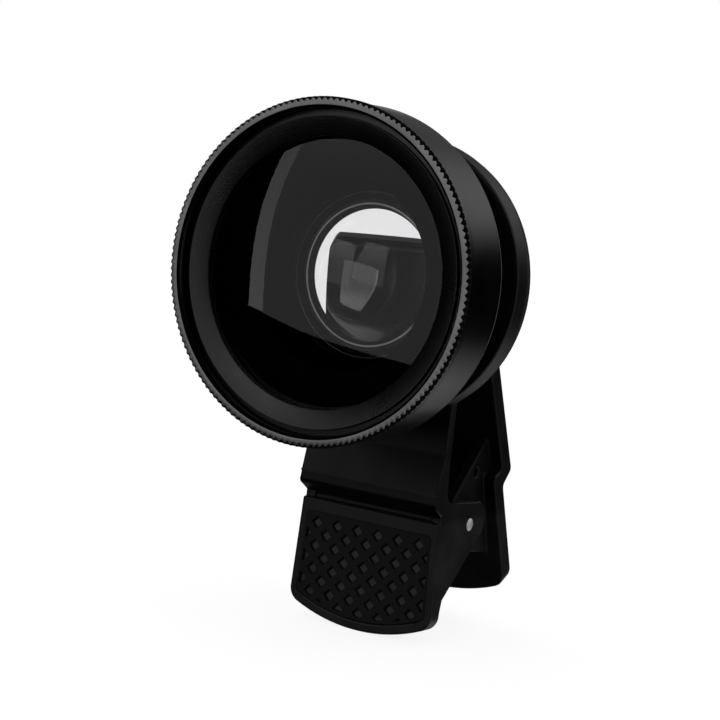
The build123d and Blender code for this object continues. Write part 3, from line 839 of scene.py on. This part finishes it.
macro_ring_section = rounded([
    (macro_r, macro_ring_back, 0.05),
    (macro_r, macro_ring_front, 0.08),
    (macro_aperture_r, macro_ring_front, ring_edge),
    (macro_aperture_r, macro_ring_back, 0.05),
], steps=6)
macro_ring_mesh = turned("macro_ring", macro_ring_section, macro_segments, look_of=highlight_edge_faces)
macro_ring = new_piece("macro_ring", macro_ring_mesh, inner_grey, edge_bright)
dress(macro_ring, "macro_optic", "inner_metal", "macro_retaining_ring")


# %% [markdown]
# ## Macro barrel
# The macro barrel has a knurled grip between two threaded ends. Both its grip notches and its threads
# are changes of radius with the angle, so one function of the angle cuts them all while it is turned:
# the notches stay in place along the axis, and the thread grooves move on by one pitch in each turn.

# %% Macro barrel
grip_length, socket_depth = 5.2, 3.5
grip_back = barrel_back + grip_length
spigot_back = span("macro_barrel")[1].y
collar_r, spigot_r, spigot_wall_r, flare_r, collar_edge = 16.6, 18.3, 15.42, 15.8, 0.14
thread_pitch, thread_depth, thread_half_width, thread_inset = 0.75, 0.22, 0.4, 0.3
grip_notches, grip_notch_depth, grip_notch_width, grip_knurl_length = 96, 0.4, 0.52, 2.6
grip_chamfer, knurl_step, tiny = 0.15, 0.01, 0.01
macro_seat = spigot_back - socket_depth
knurl_middle = (barrel_back + grip_back) / 2


def cut_macro(r, y, angle):
    """Radius of the macro barrel at a place: thread grooves on both ends, notches on the grip."""
    if abs(r - neck_r) < tiny and abs(y - knurl_middle) < grip_knurl_length / 2:
        across = abs((angle * grip_notches / (2 * pi) + 0.5) % 1 - 0.5) * 2 * pi * neck_r / grip_notches
        return r - grip_notch_depth * max(0.0, 1 - across / (grip_notch_width / 2))
    on_collar = abs(r - collar_r) < tiny and y < barrel_back - thread_inset
    on_spigot = abs(r - spigot_r) < tiny and y > grip_back + thread_inset
    if on_collar or on_spigot:
        turn = (y / thread_pitch - angle / (2 * pi)) % 1
        return r - thread_depth * max(0.0, 1 - abs(turn - 0.5) / thread_half_width)
    return r


def along(radius, start, end, step):
    """Section points along a cylinder, closely spaced so that a thread can be cut in them."""
    count = max(1, round(abs(end - start) / step))
    return [(radius, start + (end - start) * k / count) for k in range(count + 1)]


def macro_barrel_section():
    """Half section of the macro barrel, from its front round its outside, with a chamfer on the grip."""
    knurl_start = knurl_middle - grip_knurl_length / 2
    knurl_end = knurl_middle + grip_knurl_length / 2
    section = [(spigot_wall_r, collar_front + collar_edge), (spigot_wall_r + collar_edge, collar_front)]
    section += along(collar_r, collar_front, barrel_back, thread_pitch / 6)
    section += [(neck_r - grip_chamfer, barrel_back), (neck_r, barrel_back + grip_chamfer)]
    section += [(neck_r, knurl_start), (neck_r, knurl_start + knurl_step)]
    section += [(neck_r, knurl_end - knurl_step), (neck_r, knurl_end)]
    section += [(neck_r, grip_back - grip_chamfer), (neck_r - grip_chamfer, grip_back)]
    section += along(spigot_r, grip_back, spigot_back, thread_pitch / 6)
    section += [(flare_r, spigot_back), (macro_aperture_r, macro_seat), (spigot_wall_r, macro_seat)]
    return section


def collar_mouth(one, two):
    """1 on the cut edge in the mouth of the collar, whose light grey is a painted highlight."""
    return int(one[1] > two[1] and two[1] == collar_front and two[0] < collar_r)


macro_shell_mesh = turned("macro_shell", macro_barrel_section(), 8 * grip_notches, change=cut_macro,
                          look_of=collar_mouth)
macro_shell = new_piece("macro_shell", macro_shell_mesh, barrel_black, cut_grey)
dress(macro_shell, "macro_body", "barrel_metal", "macro_barrel")

# %% [markdown]
# ## Clip arms
# The arms are moulded in plastic. The frame's solids already have their outline, so their faces are
# cleaned up into plain polygons, and a Bevel modifier rounds their edges as a mould does. The rounding
# catches the light, which sharp edges never do. A bevel goes wrong where it is wider than the faces
# beside it, so very short edges may be left out, corners that it throws off the solid are drawn back,
# and large faces are made flat again.

# %% Soften a solid
flat_angle, edge_angle = 0.8, 28
stray_share, large_area = 0.45, 10.0


def softened(name, source, width, look, merge=0.002, steps=3, least=0.0):
    """A copy of a solid of the frame with its edges rounded by the width, except those under the least."""
    mesh = nodes[source].data.copy()
    mesh.materials.clear()
    shape = bmesh.new()
    shape.from_mesh(mesh)
    bmesh.ops.remove_doubles(shape, verts=shape.verts, dist=merge * MM)
    bmesh.ops.dissolve_limit(shape, angle_limit=radians(flat_angle), verts=shape.verts, edges=shape.edges)
    weight = shape.edges.layers.float.new("bevel_weight_edge")
    for edge in shape.edges:
        long_enough = edge.calc_length() > least * MM
        sharp = edge.is_manifold and edge.calc_face_angle() > radians(edge_angle)
        edge[weight] = float(long_enough and sharp)
    shape.to_mesh(mesh)
    shape.free()
    piece = new_piece(name, mesh, look)
    bevel = piece.modifiers.new("round_edges", "BEVEL")
    bevel.width, bevel.segments, bevel.limit_method = width * MM, steps, "WEIGHT"
    bevel.use_clamp_overlap = False
    settled(piece)
    draw_back(piece, source, stray_share * width)
    flatten(piece.data)
    even = piece.modifiers.new("even_shading", "WEIGHTED_NORMAL")
    even.keep_sharp = True
    return settled(piece)


def draw_back(piece, source, limit):
    """Puts corners that a bevel throws off the solid, by more than the limit, back on its surface."""
    surface = BVHTree.FromObject(nodes[source], bpy.context.evaluated_depsgraph_get())
    for vert in piece.data.vertices:
        place, _, _, distance = surface.find_nearest(vert.co)
        if distance > limit * MM:
            vert.co = place


def flatten(mesh):
    """Moves the corners of each large face into the plane of that face."""
    for face in mesh.polygons:
        if face.area > large_area * MM**2:
            middle, normal = face.center.copy(), face.normal.copy()
            for i in face.vertices:
                vert = mesh.vertices[i]
                vert.co -= normal * normal.dot(vert.co - middle)


# %% [markdown]
# The front arm has very short edges where the groove above its pad ends, and they stay sharp. On the rear
# arm, corners nearer to each other than `arm_merge` are joined before the edges are rounded, as the tiny
# faces between them would spoil the bevel.

# %% Arms
front_edge_width, shortest_edge, rear_edge_width, arm_merge = 0.32, 0.34, 0.35, 0.12
front_clip = softened("front_clip", "front_arm", front_edge_width, moulded_black, least=shortest_edge)
dress(front_clip, "clip", "clip_plastic", "front_arm")
rear_clip = softened("rear_clip", "rear_arm", rear_edge_width, moulded_black, merge=arm_merge)
dress(rear_clip, "rear_lever", "clip_plastic", "rear_arm")

# %% [markdown]
# ## Rubber pads
# The pads are moulded in soft rubber, so their edges are rounder than the plastic's. The floors of the
# diamond pockets are smoother than the ribs between them, and their lighter grey is a painted sheen.
# The pockets are in the frame's solid already, so only their floors have to be found and given a finish.

# %% Grip pads
pocket_depth, pad_edge, floor_range = 0.55, 0.14, 0.03
rear_arm_lean, handle_tilt = 28.0, 6.8
handle_lean = radians(rear_arm_lean - handle_tilt)


def sheen_pocket_floors(pad, outward, look):
    """Gives the floors of the pockets, found by their depth below the outer face, their own smoother finish,
    lighter by a painted sheen.
    """
    heights = [vert.co.dot(outward) for vert in pad.data.vertices]
    floor = max(heights) - pocket_depth * MM
    pad.data.materials.append(look)
    for face in pad.data.polygons:
        level = [abs(heights[i] - floor) < floor_range * MM for i in face.vertices]
        face.material_index = int(all(level))


front_pad = softened("front_pad", "front_grip_pad", pad_edge, grip_black, steps=2)
sheen_pocket_floors(front_pad, Vector((0, -1, 0)), floor_black)
dress(front_pad, "clip", "grip_rubber", "front_grip_pad")
rear_pad = softened("rear_pad", "rear_grip_pad", pad_edge, grip_black, steps=2)
sheen_pocket_floors(rear_pad, Vector((0, cos(handle_lean), sin(handle_lean))), floor_black)
dress(rear_pad, "rear_lever", "grip_rubber", "rear_grip_pad")

# %% [markdown]
# Two cushions keep the clip from marking the phone. The front one is a plain ring with a crowned face, so
# it is turned. The rear one follows the end of the jaw, so it is the frame's solid with rounded edges.

# %% Jaw pads
cushion_inner_r, cushion_edge, cushion_segments, jaw_edge = 18.75, 0.45, 160, 0.30
cushion_low, cushion_high = span("front_jaw_pad")
cushion_section = rounded([
    (cushion_inner_r, cushion_low.y, 0.05),
    (cushion_high.x, cushion_low.y, 0.05),
    (cushion_high.x, cushion_high.y, cushion_edge),
    (cushion_inner_r, cushion_high.y, cushion_edge),
], steps=5)
cushion_mesh = turned("front_cushion", cushion_section, cushion_segments)
front_cushion = new_piece("front_cushion", cushion_mesh, pad_black)
dress(front_cushion, "clip", "pad_rubber", "front_jaw_pad")
rear_cushion = softened("rear_cushion", "rear_jaw_pad", jaw_edge, pad_black)
dress(rear_cushion, "rear_lever", "pad_rubber", "rear_jaw_pad")

# %% [markdown]
# ## Hinge
# The pin is a rivet with domed heads. It is turned round the same axis as the lenses, and then laid along
# the hinge.

# %% Pin
pin_low, pin_high = span("hinge_pin")
pin_middle, pin_r = (pin_low + pin_high) / 2, (pin_high.z - pin_low.z) / 2
dome_height, dome_steps, pin_segments = 0.35, 8, 48
dome_r = (pin_r**2 + dome_height**2) / (2 * dome_height)
left_dome = cap(pin_low.x, dome_r, pin_r - 0.001, 1, dome_steps)
right_dome = cap(pin_high.x, dome_r, pin_r - 0.001, -1, dome_steps)
pin = new_piece("pin", turned("pin", left_dome + right_dome[::-1], pin_segments, closed=False), rivet_steel)
pin.data.transform(Matrix.Translation(pin_middle * MM) @ Matrix.Rotation(-pi / 2, 4, "Z"))
dress(pin, "clip", "pin_steel", "hinge_pin")

# %% [markdown]
# The spring is one wire: a leg on the front handle, a coil of six turns round the pin and a leg on the
# rear handle. Each leg is straight and leaves the coil at a tangent, so where the coil starts and how far
# it turns follow from the two feet. A curve with a round bevel draws the wire.

# %% Spring
wire_r, coil_r, coil_pitch, whole_turns, steps_per_turn = 0.45, 2.6, 1.15, 6, 40
front_foot, rear_foot = (0.85, -48.3), (19.08, -43.73)


def leaving_angle(foot, side):
    """Angle on the coil where the straight leg to the foot leaves it. The side is -1 or 1."""
    away = Vector(foot) - Vector((pin_middle.y, pin_middle.z))
    straight = sqrt(away.length_squared - coil_r**2)
    return atan2(away.y, away.x) + side * atan2(straight, coil_r)


coil_start = leaving_angle(front_foot, -1)
coil_turns = whole_turns + (coil_start - leaving_angle(rear_foot, 1)) % (2 * pi) / (2 * pi)
coil_half = coil_pitch * coil_turns / 2
print("coil starts at", round(coil_start, 4), "and makes", round(coil_turns, 4), "turns")


def spring_path():
    """Places along the wire: the front foot, the coil from one end to the other, and the rear foot."""
    count = round(coil_turns * steps_per_turn)
    path = [(-coil_half, *front_foot)]
    for k in range(count + 1):
        angle = coil_start - 2 * pi * coil_turns * k / count
        path.append((-coil_half + 2 * coil_half * k / count, pin_middle.y + coil_r * cos(angle),
                     pin_middle.z + coil_r * sin(angle)))
    return path + [(coil_half, *rear_foot)]


def bent_wire(name, path, radius, look):
    """A round wire with closed ends along a path, as a plain mesh."""
    curve = bpy.data.curves.new(name, "CURVE")
    curve.dimensions, curve.use_fill_caps = "3D", True
    curve.bevel_depth, curve.bevel_resolution = radius * MM, 3
    line = curve.splines.new("POLY")
    line.points.add(len(path) - 1)
    for point, place in zip(line.points, path):
        point.co = (*(Vector(place) * MM), 1)
    drawn = bpy.data.objects.new(name, curve)
    bpy.context.scene.collection.objects.link(drawn)
    graph = bpy.context.evaluated_depsgraph_get()
    mesh = bpy.data.meshes.new_from_object(drawn.evaluated_get(graph), depsgraph=graph)
    bpy.data.objects.remove(drawn)
    mesh.materials.clear()
    face_out(mesh)
    smooth(mesh, 50)
    return new_piece(name, mesh, look)


spring = bent_wire("spring", spring_path(), wire_r, wire_steel)
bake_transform(spring)
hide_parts("torsion_spring")
print("spring", len(spring.data.polygons), "faces, bent between clip and rear_lever")
